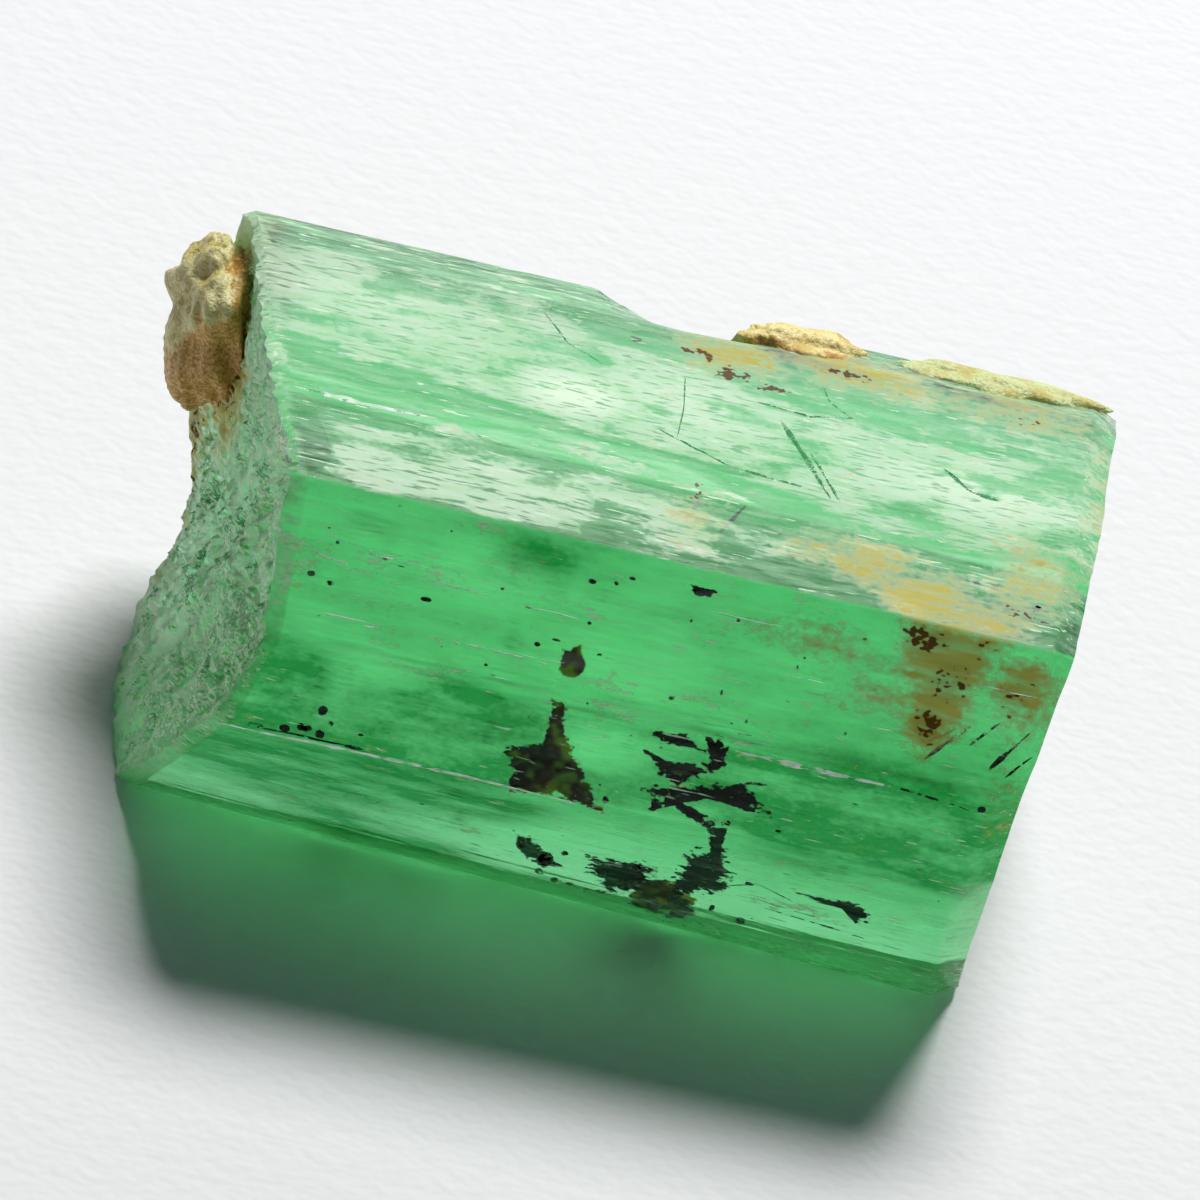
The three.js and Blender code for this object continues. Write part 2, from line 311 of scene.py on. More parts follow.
def crystal_skin():
    """Points of the crystal, ring by ring from the torn end to the broken one, and the marks on its skin.

    A body ring is the section, part way between its two ends, moved out by growth grooves: noise stretched
    along X. An end ring is the section drawn in towards its core, on a leaning plane with relief that fades
    at the rim.
    """
    ring = section_rings()
    torn, broken, reach = ring[:, 0:2], ring[:, 2:4], ring[:, 4:6]
    groove, haze, frost, shade, face = ring[:, 6:].T
    step = np.linalg.norm(np.roll(torn, -1, 0) - torn, axis=1)
    arc = np.cumsum(step)
    rim_arc = arc[np.argmax(face == FACES.index("rim"))]

    share = np.linspace(0, 1, ROWS["body"])[:, None]
    x = (reach[:, 0] + CHAMFER["torn"]) * (1 - share) + (reach[:, 1] - CHAMFER["broken"]) * share
    section = torn * (1 - share[..., None]) + broken * share[..., None]
    tangent = np.roll(section, -1, 1) - np.roll(section, 1, 1)
    out = np.stack([tangent[..., 1], -tangent[..., 0]], -1)
    out /= np.linalg.norm(out, axis=-1, keepdims=True)
    lines = 0.5 * noise(arc / 0.11, x / 1.7, 1) + 0.5 * noise(arc / 0.055, x / 0.9, 2)
    lines += 0.9 * noise(arc / 0.32, x / 2.6, 3)
    lift = groove * MICRON / MM * lines
    near = np.clip(1 - ((x - RIM_CHIP["x"]) / RIM_CHIP["half"]) ** 2, 0, 1)
    near = near * np.exp(-(((arc - rim_arc) / RIM_CHIP["width"]) ** 2))
    rough = near * (0.9 + 0.14 * noise(x / 0.3, arc / 0.3, 5))
    section = section + out * lift[..., None]
    section = section - rough[..., None] * np.array([RIM_CHIP["back"], RIM_CHIP["down"]])
    body = np.dstack([x, section])
    body[..., 2] = np.clip(body[..., 2], 0, HEIGHT)

    def end_rings(sizes, section_end, reach_end, plane, relief):
        grown = np.asarray(sizes)[:, None, None]
        core = np.array(CORE)
        yz = core * (1 - grown) + section_end * grown
        inner = plane[0] + plane[1] * yz[..., 0] + plane[2] * yz[..., 1]
        bend = grown[..., 0] ** 2
        fade = 1 - RIM_FADE * grown[..., 0] ** 8
        x_end = inner * (1 - bend) + reach_end * bend + relief(yz[..., 0], yz[..., 1]) * fade
        return np.dstack([x_end, yz])

    def torn_relief(y, z):
        broad = 0.65 * np.sin(2.3 * y + 0.7) * np.cos(1.9 * z - 0.4)
        ribs = ridges((y + 0.25 * z) / 0.24, z / 0.9, 11) + 0.5 * ridges((y + 0.2 * z) / 0.1, z / 0.3, 12)
        sugar = noise(y / 0.07, z / 0.1, 13)
        return 0.08 * broad - 0.16 * (ribs - 0.9) + 0.045 * sugar

    def broken_relief(y, z):
        steps = noise(y / 0.5 + 0.4 * z, z / 0.9, 15)
        return 0.03 * steps + 0.01 * noise(y / 0.12, z / 0.3, 16)

    sizes_torn = np.linspace(0, INSET["torn"], ROWS["torn"] + 1)[1:]
    sizes_broken = np.linspace(INSET["broken"], 0, ROWS["broken"] + 1)[:-1]
    torn_rings = end_rings(sizes_torn, torn, reach[:, 0], TORN_PLANE, torn_relief)
    broken_rings = end_rings(sizes_broken, broken, reach[:, 1], BROKEN_PLANE, broken_relief)
    torn_rings[..., 2] = np.clip(torn_rings[..., 2], 0, HEIGHT)
    rings = np.concatenate([torn_rings, body, broken_rings]) + PRISM_SHIFT
    rows, around = rings.shape[:2]

    fresh = np.clip((INSET["torn"] - sizes_torn) / RIM_WIDTH, WORN, 1)
    ends = np.concatenate([fresh, np.zeros(ROWS["body"]), np.full(ROWS["broken"], -1)])
    ends[ROWS["torn"]] = WORN
    ends = np.repeat(ends[:, None], around, 1)
    marks = {name: blobs(rings, patches) for name, patches in PATCHES.items()}
    marks["torn"] = np.clip(ends, 0, 1)
    haze = np.where(ends > 0, 0.25 + 0.65 * ends, np.where(ends < 0, 0.15, haze))
    marks["haze"] = haze + marks.pop("mist")
    frost = np.where(ends > 0, 0.5, np.where(ends < 0, 0.12, frost)) + 0.4 * frosted(rings)
    # Shade: dark cloudy stone and painted shade on the steep front faces, taken off where it glows.
    marks["shade"] = np.clip(shade + marks["shade"] - 0.8 * marks.pop("glow"), 0, 1)
    marks["frost"] = frost - 0.5 * marks.pop("clear") + 0.1 * marks["painted_glare"]
    points = np.vstack([rings[0].mean(0), rings.reshape(-1, 3), rings[-1].mean(0)])
    marks = {name: np.concatenate([[v[0, 0]], v.ravel(), [v[-1, -1]]]) for name, v in marks.items()}
    return points, ring_faces(rows, around), marks


def under_skin(face, x, across, depth):
    """A place sunk under a face by depth: its point, the ways across and out of the face, and its width."""
    i = FACES.index(face)
    share = (x - TORN_X) / (BROKEN_X - TORN_X)
    torn, torn_next = np.array(EDGES[i][1]), np.array(EDGES[(i + 1) % len(EDGES)][1])
    broken, broken_next = np.array(EDGES[i][2]), np.array(EDGES[(i + 1) % len(EDGES)][2])
    first = torn * (1 - share) + broken * share
    span = torn_next * (1 - share) + broken_next * share - first
    way = span / np.linalg.norm(span)
    out = np.array([way[1], -way[0]])
    point = np.array([x, *(first + across * span - depth * out)]) + PRISM_SHIFT
    return point, np.array([0, *way]), np.array([0, *out]), np.linalg.norm(span)


def plate(place, outline, thickness, ragged, seed, around=36, sizes=(0.5, 0.85)):
    """A closed lens-thin flake. Its outline, along X and across the face, is pushed in and out by noise, and
    drawn in to its middle by rings: a ring of size s is half the thickness times the root of 1 - s^2 from
    the mid plane.
    """
    point, way, out = place
    outline = np.asarray(outline, float)
    area = np.sum(outline[:, 0] * np.roll(outline[:, 1], -1) - outline[:, 1] * np.roll(outline[:, 0], -1))
    if area < 0:
        outline = outline[::-1]
    loop = np.vstack([outline, outline[:1]])
    length = np.r_[0, np.cumsum(np.linalg.norm(np.diff(loop, axis=0), axis=1))]
    turn = np.linspace(0, length[-1], around, endpoint=False)
    edge = np.stack([np.interp(turn, length, loop[:, k]) for k in (0, 1)], -1)
    middle = edge.mean(0)
    share = turn / length[-1] * around
    wave = 0.5 * noise(share / 6, 0 * turn + 9.5, seed) + 0.5 * noise(share / 1.7, 0 * turn + 3.5, seed)
    edge = (edge - middle) * (1 + ragged * wave)[:, None]
    size = np.array([*sizes, 1.0, *sizes[::-1]])
    side = np.array([1.0] * len(sizes) + [0.0] + [-1.0] * len(sizes))
    flat = middle + size[:, None, None] * edge
    lift = side * thickness / 2 * np.sqrt(1 - size * size)
    flat = np.concatenate([np.tile(middle, (1, around, 1)), flat, np.tile(middle, (1, around, 1))])
    lift = np.r_[thickness / 2, lift, -thickness / 2][:, None]
    rings = point + flat[..., :1] * np.array([1.0, 0, 0]) + flat[..., 1:] * way + lift[..., None] * out
    points = np.vstack([rings[0, 0], rings[1:-1].reshape(-1, 3), rings[-1, 0]])
    return points, ring_faces(len(size), around)


def oval(length, width):
    """An ellipse's outline, by its length along X and its width."""
    turn = np.linspace(0, 2 * np.pi, 24, endpoint=False)
    return np.stack([length / 2 * np.cos(turn), width / 2 * np.sin(turn)], -1)


# Depths under the skin; what is open at the skin stands just proud of it.
DEPTHS = {"black flake": 0.05, "brown flake": 0.06, "hair": 0.03, "crack": -0.006, "bright line": -0.004}
FLAKE_RINGS = (0.2, 0.4, 0.6, 0.8)
FLAKE_AROUND = 60
# How whole the small pieces are, where a flake is 1 at its heart and 0 at its rim.
GRAIN_HEART, HAIR_HEART, LINE_HEART = 0.36, 0.35, 0.3
SPREAD = 1.6  # a flake's outline over what of it is dark, because its material frays it


def flake(face, outline, seed, depth, ragged, thickness=0.012):
    """A plate under a face, from an outline of x and of shares across the face."""
    outline = np.array(outline, float)
    x, across = outline.mean(0)
    point, way, out, width = under_skin(face, x, across, depth)
    outline = (outline - (x, across)) * (SPREAD, SPREAD * width)
    return plate((point, way, out), outline, thickness, ragged, seed, FLAKE_AROUND, FLAKE_RINGS)


def flake_hearts(count):
    """For the points of some flakes in a row: 1 at a flake's middle, falling to 0 at its rim."""
    size = np.array([*FLAKE_RINGS, 1.0, *FLAKE_RINGS[::-1]])
    return np.tile(np.r_[1.0, np.repeat(1 - size, FLAKE_AROUND), 1.0], count)


def speck(face, x, across, length, width, depth=0.03, seed=0):
    """A small oval plate under a face."""
    point, way, out, _ = under_skin(face, x, across, depth)
    return plate((point, way, out), oval(length, width), 0.6 * min(length, width), 0.35, seed, around=14)


def thread(face, path, width, depth, seed, thickness=0.008, wobble=0.01):
    """A flat diamond section carried along a line in or under a face, thinned to a point at both ends.

    The path is a few places of x and share across; between them it runs straight, shaken by noise.
    """
    path = np.array(path, float)
    steps = max(8, int(np.abs(np.diff(path[:, 0])).sum() / 0.06))
    share = np.linspace(0, len(path) - 1, steps)
    places = np.stack([np.interp(share, range(len(path)), path[:, k]) for k in (0, 1)], -1)
    found = [under_skin(face, x, across, depth) for x, across in places]
    points = np.array([f[0] for f in found])
    way, out = found[0][1], found[0][2]
    points = points + wobble * noise(places[:, 0] / 0.15, places[:, 1] * 9, seed)[:, None] * way
    tangent = np.gradient(points, axis=0)
    tangent /= np.linalg.norm(tangent, axis=1, keepdims=True)
    side = np.cross(tangent, out)
    fade = np.sin(np.pi * np.linspace(0.04, 0.96, steps))[:, None] ** 0.5
    fade = fade * (0.75 + 0.5 * noise(places[:, 0] / 0.1, places[:, 1] * 7, seed + 3))[:, None]
    rings = np.stack([out * thickness / 2 + 0 * side, side * width / 2, -out * thickness / 2 + 0 * side,
                      -side * width / 2], 1)
    rings = points[:, None] + rings * fade[:, None]
    ends = points[0] - tangent[0] * width / 2, points[-1] + tangent[-1] * width / 2
    return np.vstack([ends[0], rings.reshape(-1, 3), ends[1]]), ring_faces(steps, 4)


def joined(parts):
    """Many small meshes as one."""
    points, faces, start = [], [], 0
    for part_points, part_faces in parts:
        points.append(part_points)
        faces += [tuple(start + i for i in face) for face in part_faces]
        start += len(part_points)
    return np.vstack(points), faces


def crust_ball(middle, radii, turn, seed, rows=60, around=90):
    """A knobbly ball: a unit sphere swollen by noise, stretched to its radii and turned about X."""
    tilt = np.linspace(0, np.pi, rows + 2)[1:-1][:, None]
    spin = np.linspace(0, 2 * np.pi, around, endpoint=False)[None, :]
    ball = np.dstack([np.sin(tilt) * np.cos(spin), np.sin(tilt) * np.sin(spin), np.cos(tilt) + 0 * spin])
    ball = np.concatenate([[np.tile([0, 0, 1.0], (around, 1))], ball, [np.tile([0, 0, -1.0], (around, 1))]])
    x, y, z = np.moveaxis(ball, -1, 0)
    swell = 1 + 0.18 * noise(2.1 * x + 7, 2.1 * y + 1.5 * z, seed)
    swell += 0.09 * noise(4.5 * x + 3 * z, 4.5 * y - 2 * z, seed + 1)
    swell += 0.045 * noise(11 * x + 4 * z, 11 * y - 5 * z, seed + 2)
    ball = ball * swell[..., None] * np.array(radii)
    c, s = math.cos(turn), math.sin(turn)
    ball = ball @ np.array([[1, 0, 0], [0, c, s], [0, -s, c]]) + np.array(middle)
    points = np.vstack([ball[0, 0], ball[1:-1].reshape(-1, 3), ball[-1, 0]])
    faces = [face[::-1] for face in ring_faces(rows, around)]
    return points, faces


# ---- materials ----


def add(tree, kind, inputs=(), **settings):
    """Adds a node, sets its properties, and gives each input a value or another node's output."""
    made = tree.nodes.new(kind)
    for name, value in settings.items():
        setattr(made, name, value)
    for name, value in dict(inputs).items():
        if isinstance(value, bpy.types.NodeSocket):
            tree.links.new(value, made.inputs[name])
        else:
            made.inputs[name].default_value = value
    return made


def new_material(name):
    """An empty material with an output node."""
    material = bpy.data.materials.new(name)
    material.use_nodes = True
    material.node_tree.nodes.clear()
    return material, material.node_tree, add(material.node_tree, "ShaderNodeOutputMaterial")


def mottle(tree, place, scale, detail, roughness=0.6):
    """Cloudy noise between 0 and 1; scale is cycles a millimetre along X, Y and Z."""
    spread = add(tree, "ShaderNodeMapping", {"Vector": place, "Scale": [s / MM for s in scale]}).outputs[0]
    settings = {"Vector": spread, "Scale": 1.0, "Detail": detail, "Roughness": roughness}
    return add(tree, "ShaderNodeTexNoise", settings).outputs["Fac"]


def sums(tree, operation, first, second, clamp=False):
    """One step of arithmetic between two outputs or numbers."""
    made = add(tree, "ShaderNodeMath", {0: first, 1: second}, operation=operation, use_clamp=clamp)
    return made.outputs[0]


def ramp(tree, value, low, high, start=0.0, end=1.0):
    """Carries low..high of a value to start..end, and holds it there beyond."""
    settings = {"Value": value, "From Min": low, "From Max": high, "To Min": start, "To Max": end}
    return add(tree, "ShaderNodeMapRange", settings).outputs[0]


def blend(tree, factor, first, second):
    """A colour part way from the first to the second."""
    return add(tree, "ShaderNodeMix", {"Factor": factor, 6: first, 7: second}, data_type="RGBA").outputs[2]


def raised(tree, height, distance):
    """The normal of a surface raised by a height from 0 to 1 times a distance in metres."""
    return add(tree, "ShaderNodeBump", {"Height": height, "Distance": distance}).outputs[0]


BERYL_IOR = 1.577
LIMONITE_IOR = 1.5
SEALED_IOR = 1.01  # of mica in beryl, which bends light nearly as much as the stone round it
PAPER_IOR = 1.5


def emerald_material(look):
    """Beryl as it grew: clear green glassy stone, finely grooved, with a sugary torn end and iron stains.

    The green is in the body of the stone, so thick parts look deeper. The grooves break up every highlight.
    On the upper faces they are frosted, so those faces look milky where the steep ones can be looked into.
    """
    material, tree, out = new_material("Raw_emerald_growth_faces")
    place = add(tree, "ShaderNodeTexCoord").outputs["Object"]
    lines = mottle(tree, place, (1.5, 10, 10), 1.0)  # growth grooves 0.1 mm apart
    hairs = mottle(tree, place, (3.2, 26, 26), 1.0)  # growth tubes 0.04 mm wide
    clouds = mottle(tree, place, (1.1, 2.8, 2.8), 1.0)  # worn patches 0.4 mm wide
    grain = mottle(tree, place, (9, 13, 13), 1.0, 0.7)  # sugary grains of 0.08 mm
    marks = {
        name: add(tree, "ShaderNodeAttribute", attribute_name=name).outputs["Fac"]
        for name in ("torn", "haze", "frost", "painted_glare", "shade", "ochre", "rust")
    }
    torn = marks["torn"]

    rags = sums(tree, "ADD", sums(tree, "MULTIPLY", clouds, 1.5), sums(tree, "MULTIPLY", grain, 0.5))
    rags = sums(tree, "ADD", rags, sums(tree, "MULTIPLY", lines, 0.4))
    rags = sums(tree, "SUBTRACT", rags, 1.2)
    frost = ramp(tree, sums(tree, "ADD", marks["frost"], rags), 0.41, 0.6)
    speck = sums(tree, "MULTIPLY", sums(tree, "SUBTRACT", grain, 0.5), 1.8)
    stain = sums(tree, "ADD", marks["ochre"], sums(tree, "MULTIPLY", rags, 0.7))
    ochre = ramp(tree, sums(tree, "ADD", stain, sums(tree, "MULTIPLY", speck, 0.6)), 0.25, 1.1, 0.0, 0.95)
    ochre = sums(tree, "MULTIPLY", ochre, ramp(tree, lines, 0.36, 0.6, 0.72, 1.0))
    rust = ramp(tree, sums(tree, "ADD", marks["rust"], speck), 0.74, 0.84, 0.0, 0.95)

    milk_and_highlight = sums(tree, "MULTIPLY", marks["haze"], ramp(tree, lines, 0.36, 0.66, 0.3, 1.7))
    frosting = {"Factor": frost, 2: milk_and_highlight, 3: look.frosting}
    milk_and_highlight = add(tree, "ShaderNodeMix", frosting, data_type="FLOAT").outputs[0]
    # Painted highlight: more milk, and whiter, where the light's reflection lies on the top.
    milk_and_highlight = sums(tree, "ADD", milk_and_highlight, sums(tree, "MULTIPLY", marks["painted_glare"], 0.3))
    dash = ramp(tree, hairs, 0.36, 0.41, 1.0, 0.0)
    milk_and_highlight = sums(tree, "MULTIPLY", milk_and_highlight, ramp(tree, dash, 0.0, 1.0, 1.0, 0.4), True)
    # Painted glints: white flecks that stand in for sparkles of reflected light.
    glint = sums(tree, "ADD", hairs, sums(tree, "MULTIPLY", marks["haze"], 0.25))
    glint = sums(tree, "ADD", glint, sums(tree, "MULTIPLY", clouds, 0.25))
    glint = ramp(tree, glint, 0.84, 0.88, 0.0, 0.85)
    milk_and_highlight = sums(tree, "MAXIMUM", milk_and_highlight, glint)

    # Frost is whiter at random, and whitest under the painted highlight.
    whiter_and_highlight = ramp(tree, sums(tree, "ADD", clouds, lines), 0.8, 1.25)
    whiter_and_highlight = sums(tree, "ADD", whiter_and_highlight, marks["painted_glare"], True)
    frost_and_highlight = blend(tree, whiter_and_highlight, linear(look.pale_hex), linear(look.painted_highlight_hex))
    skin = blend(tree, frost, linear(look.milk_hex), frost_and_highlight)
    sugar = blend(tree, ramp(tree, rags, -0.3, 0.05), linear(look.torn_hex), linear(look.sugar_hex))
    skin = blend(tree, dash, skin, linear(look.dash_hex))
    skin = blend(tree, torn, skin, sugar)
    skin = blend(tree, glint, skin, linear(look.painted_highlight_hex))
    # Painted shade and dark cloudy stone darken the tint that the stone lets through.
    shade = sums(tree, "MULTIPLY", marks["shade"], ramp(tree, rags, -0.4, 0.35, 0.55, 1.25), True)
    colour = blend(tree, shade, linear(look.clear_hex), linear(look.shade_hex))
    colour = blend(tree, milk_and_highlight, colour, skin)
    browner = ramp(tree, marks["rust"], 0.4, 1.2)
    limonite = blend(tree, browner, linear(look.ochre_hex), linear(look.olive_hex))
    colour = blend(tree, ochre, colour, limonite)
    colour = blend(tree, rust, colour, linear(look.rust_hex))

    clear = sums(tree, "SUBTRACT", 1.0, milk_and_highlight)
    clear = sums(tree, "MULTIPLY", clear, ramp(tree, ochre, 0.0, 1.0, 1.0, 0.1))
    clear = sums(tree, "MULTIPLY", clear, ramp(tree, rust, 0.0, 1.0, 1.0, 0.1))

    polish = ramp(tree, hairs, 0.35, 0.65, look.polish, look.polish * 2.5)
    dull = ramp(tree, marks["frost"], 0.12, 0.25, 0.0, 0.35)
    dull = sums(tree, "ADD", dull, sums(tree, "MULTIPLY", frost, 0.1))
    rough = sums(tree, "MAXIMUM", sums(tree, "ADD", polish, dull), sums(tree, "MULTIPLY", ochre, 0.6))

    settings = {"Base Color": colour, "Roughness": rough, "IOR": BERYL_IOR, "Transmission Weight": clear,
                "Specular Tint": linear(look.sheen_hex), "Normal": raised(tree, lines, look.groove)}
    surface = add(tree, "ShaderNodeBsdfPrincipled", settings)
    body = add(
        tree, "ShaderNodeVolumeAbsorption", {"Color": linear(look.body_hex), "Density": look.depth}
    )
    tree.links.new(surface.outputs[0], out.inputs["Surface"])
    tree.links.new(body.outputs[0], out.inputs["Volume"])
    return material


def earthy_material(name, pale_hex, dark_hex, patch=3.0, relief=20 * MICRON):
    """Limonite: iron-stained clay grown on the stone, waxy on the knobs, matt and blotched between them."""
    material, tree, out = new_material(name)
    place = add(tree, "ShaderNodeTexCoord").outputs["Object"]
    blotch = mottle(tree, place, (patch, patch, patch), 3.0, 0.65)  # blotches of 0.3 mm
    grain = mottle(tree, place, (22, 22, 22), 1.0, 0.7)  # clay grains of 0.05 mm
    mask = ramp(tree, sums(tree, "ADD", blotch, sums(tree, "MULTIPLY", grain, 0.4)), 0.62, 0.86)
    colour = blend(tree, mask, linear(pale_hex), linear(dark_hex))
    rust = add(tree, "ShaderNodeAttribute", attribute_name="rust").outputs["Fac"]
    rust = ramp(tree, sums(tree, "ADD", rust, sums(tree, "MULTIPLY", blotch, 0.8)), 0.75, 0.95)
    brown = blend(tree, ramp(tree, grain, 0.35, 0.65), linear("#DCB060"), linear("#A87C34"))
    colour = blend(tree, rust, colour, brown)
    settings = {"Base Color": colour, "Roughness": ramp(tree, grain, 0.3, 0.7, 0.4, 0.75),
                "IOR": LIMONITE_IOR, "Normal": raised(tree, grain, relief)}
    surface = add(tree, "ShaderNodeBsdfPrincipled", settings)
    tree.links.new(surface.outputs[0], out.inputs["Surface"])
    return material


def frayed_material(name, dark_hex, thin_hex, clear, fray):
    """Biotite flakes and cracks sealed in the stone: near black where thick, coloured where light comes in.

    Away from a flake's heart more and more of it is missing, and what is missing is clear. The stone round
    it bends light as much as it does, so it has hardly any gloss of its own.
    """
    material, tree, out = new_material(name)
    place = add(tree, "ShaderNodeTexCoord").outputs["Object"]
    heart = add(tree, "ShaderNodeAttribute", attribute_name="heart").outputs["Fac"]
    bits = mottle(tree, place, (7, 9, 9), 2.0, 0.75)  # chips of 0.1 mm
    there = sums(tree, "ADD", heart, sums(tree, "MULTIPLY", sums(tree, "SUBTRACT", bits, 0.5), fray))
    there = ramp(tree, there, 0.24, 0.3)
    thin = ramp(tree, mottle(tree, place, (5, 5, 5), 1.0, 0.7), 0.42, 0.6)
    colour = blend(tree, thin, linear(dark_hex), linear(thin_hex))
    colour = blend(tree, there, linear("#FFFFFF"), colour)
    solid = sums(tree, "MULTIPLY", there, ramp(tree, thin, 0.0, 1.0, 1.0, 1.0 - clear))
    settings = {"Base Color": colour, "Roughness": 0.3, "IOR": SEALED_IOR,
                "Transmission Weight": sums(tree, "SUBTRACT", 1.0, solid)}
    surface = add(tree, "ShaderNodeBsdfPrincipled", settings)
    tree.links.new(surface.outputs[0], out.inputs["Surface"])
    return material


def paper_material(colour_hex):
    """Uncoated white paper: matt, with pulp fibres just proud of the sheet."""
    material, tree, out = new_material("Uncoated_paper")
    place = add(tree, "ShaderNodeTexCoord").outputs["Object"]
    # Fibres of 0.03 mm are too fine to show, so tufts of them are drawn, 0.2 mm across.
    fibre = mottle(tree, place, (4, 5, 4), 1.0, 0.75)
    settings = {"Base Color": linear(colour_hex), "Roughness": 0.9, "IOR": PAPER_IOR,
                "Normal": raised(tree, fibre, 18 * MICRON)}
    surface = add(tree, "ShaderNodeBsdfPrincipled", settings)
    tree.links.new(surface.outputs[0], out.inputs["Surface"])
    return material


# ---- settings ----


class EmeraldSettings(bpy.types.PropertyGroup):
    """Sizes and colours of the crystal and its crusts."""

    clear_hex: StringProperty(name="Clear skin", description="Tint of clear skin", default="#F0FFF4")
    # Tint of dark cloudy stone and of the painted shade on the steep front faces.
    shade_hex: StringProperty(name="Shaded skin", description="Dark cloudy places", default="#186840")
    milk_hex: StringProperty(name="Milky skin", description="Green of milky skin", default="#62DC72")
    pale_hex: StringProperty(name="Frost", description="Frosted skin", default="#A4E692")
    # White of the whitest frost, of the painted highlight on the top and of the painted glints.
    painted_highlight_hex: StringProperty(name="White frost", description="Whitest frost", default="#E6FADC")
    dash_hex: StringProperty(name="Dashes", description="Short dark growth tubes", default="#4C7C34")
    torn_hex: StringProperty(name="Torn end", description="Hollows of the torn end", default="#38A450")
    sugar_hex: StringProperty(name="Sugar", description="Crests of the torn end", default="#84F080")
    ochre_hex: StringProperty(name="Ochre", description="Limonite in the skin", default="#C4B44C")
    olive_hex: StringProperty(name="Brown ochre", description="Thickest limonite", default="#96841C")
    rust_hex: StringProperty(name="Rust", description="Dark specks in the stains", default="#5A3200")
    frosting: FloatProperty(
        name="Frosting", description="How much light frosted skin throws back", default=0.56, min=0.0,
        max=1.0,
    )
    sheen_hex: StringProperty(name="Gloss", description="Strength of the skin's gloss", default="#4A584C")
    body_hex: StringProperty(name="Body", description="What the stone lets through", default="#00EE98")
    depth: FloatProperty(
        name="Depth of colour", description="How strongly the stone absorbs, a metre", default=340.0
    )
    polish: FloatProperty(
        name="Roughness", description="Roughness of the best growth faces", default=0.06, min=0.0, max=1.0
    )
    groove: FloatProperty(
        name="Groove depth",
        description="Depth of the growth grooves",
        default=5 * MICRON,
        precision=6,
        subtype="DISTANCE",
        unit="LENGTH",
    )


class StageSettings(bpy.types.PropertyGroup):
    """The paper, the light and the camera."""

    paper_hex: StringProperty(name="Paper", description="Colour of the paper", default="#ECECEC")
    key_power: FloatProperty(
        name="Key power", description="Power of the soft light above and behind", default=0.39,
        subtype="POWER",
    )
    key_size: FloatProperty(
        name="Key size", description="Width of that light", default=72 * MM, unit="LENGTH"
    )
    key_height: FloatProperty(
        name="Key height", description="Its angle over the horizon", default=math.radians(64),
        subtype="ANGLE",
    )
    backdrop_power: FloatProperty(
        name="Backdrop power", description="Power of the low backdrop behind", default=0.14, subtype="POWER"
    )
    fill: FloatProperty(name="Fill", description="Strength of the room's light", default=0.075)
    elevation: FloatProperty(
        name="Elevation", description="Camera's height over the horizon", default=math.radians(40),
        subtype="ANGLE",
    )
    azimuth: FloatProperty(
        name="Azimuth", description="Camera's turn about the crystal", default=math.radians(-5),
        subtype="ANGLE",
    )
    roll: FloatProperty(
        name="Roll", description="Camera's lean", default=math.radians(15.5), subtype="ANGLE"
    )
    width: FloatProperty(
        name="View width", description="Width that the camera sees", default=12.96 * MM, unit="LENGTH",
        precision=5,
    )
    distance: FloatProperty(
        name="Distance", description="From the camera to the crystal", default=150 * MM, unit="LENGTH"
    )


# ---- operators ----


def place_piece(name, made, material, node=None, smooth_angle=30):
    """A finished piece: its mesh and material, its body and the node it stands for."""
    piece = mesh_object(name, *made, material, smooth_angle)
    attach(piece, "root")
    if node:
        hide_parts(node)
    return piece


class EMERALD_OT_crystal(bpy.types.Operator):
    """Grow the crystal"""

    bl_idname = "emerald.crystal"
    bl_label = "Grow crystal"

    def execute(self, context):
        points, faces, marks = crystal_skin()
        material = emerald_material(context.scene.emerald_look)
        piece = place_piece("emerald_prism", (points, faces), material, "emerald_crystal",
                            smooth_angle=35)
        for name, values in marks.items():
            add_attribute(piece, name, values)
        return {"FINISHED"}


# Name, node, slot, middle, radii, turn about X, seed, and the names and colours of its finish.
CRUSTS = (
    ("crust_end", "limonite_crust_end", "limonite_end", (-4.5, 1.8, 4.03), (0.64, 0.9, 1.12), 0.3, 31,
     ("Limonite_cream_and_rust", "#DCD49C", "#B4A450")),
    ("crust_top", "limonite_crust_top", "limonite_top", (1.68, 1.9, 5.25), (0.68, 0.36, 0.27), -0.3, 41,
     ("Limonite_tan_wax", "#F2E29C", "#D4B868")),
    ("crust_corner", "limonite_crust_corner", "limonite_corner", (3.8, 1.92, 5.27), (1.2, 0.34, 0.2), -0.25,
     51, ("Limonite_thin_green_tan", "#D2DEA0", "#C4B864")),
)

# Where the crusts turn brown: soft ellipsoids as in PATCHES.
CRUST_RUST = (
    ((-4.35, 1.25, 3.9), (0.5, 0.8, 1.0), 1.3),
    ((-4.8, 1.1, 3.5), (0.6, 0.6, 0.4), 1.0),
    ((-4.25, 1.5, 4.6), (0.4, 0.7, 0.6), 1.3),
    ((1.2, 1.6, 5.4), (0.4, 0.2, 0.2), 0.9),
    ((2.2, 1.7, 5.4), (0.5, 0.15, 0.15), 0.8),
)


class EMERALD_OT_crusts(bpy.types.Operator):
    """Lay the limonite crusts on the crystal"""

    bl_idname = "emerald.crusts"
    bl_label = "Lay crusts"

    def execute(self, context):
        for name, node, slot, middle, radii, turn, seed, finish in CRUSTS:
            points, faces = crust_ball(middle, radii, turn, seed)
            piece = place_piece(name, (points, faces), earthy_material(*finish), node, smooth_angle=60)
            add_attribute(piece, "rust", blobs(points, CRUST_RUST))
        return {"FINISHED"}


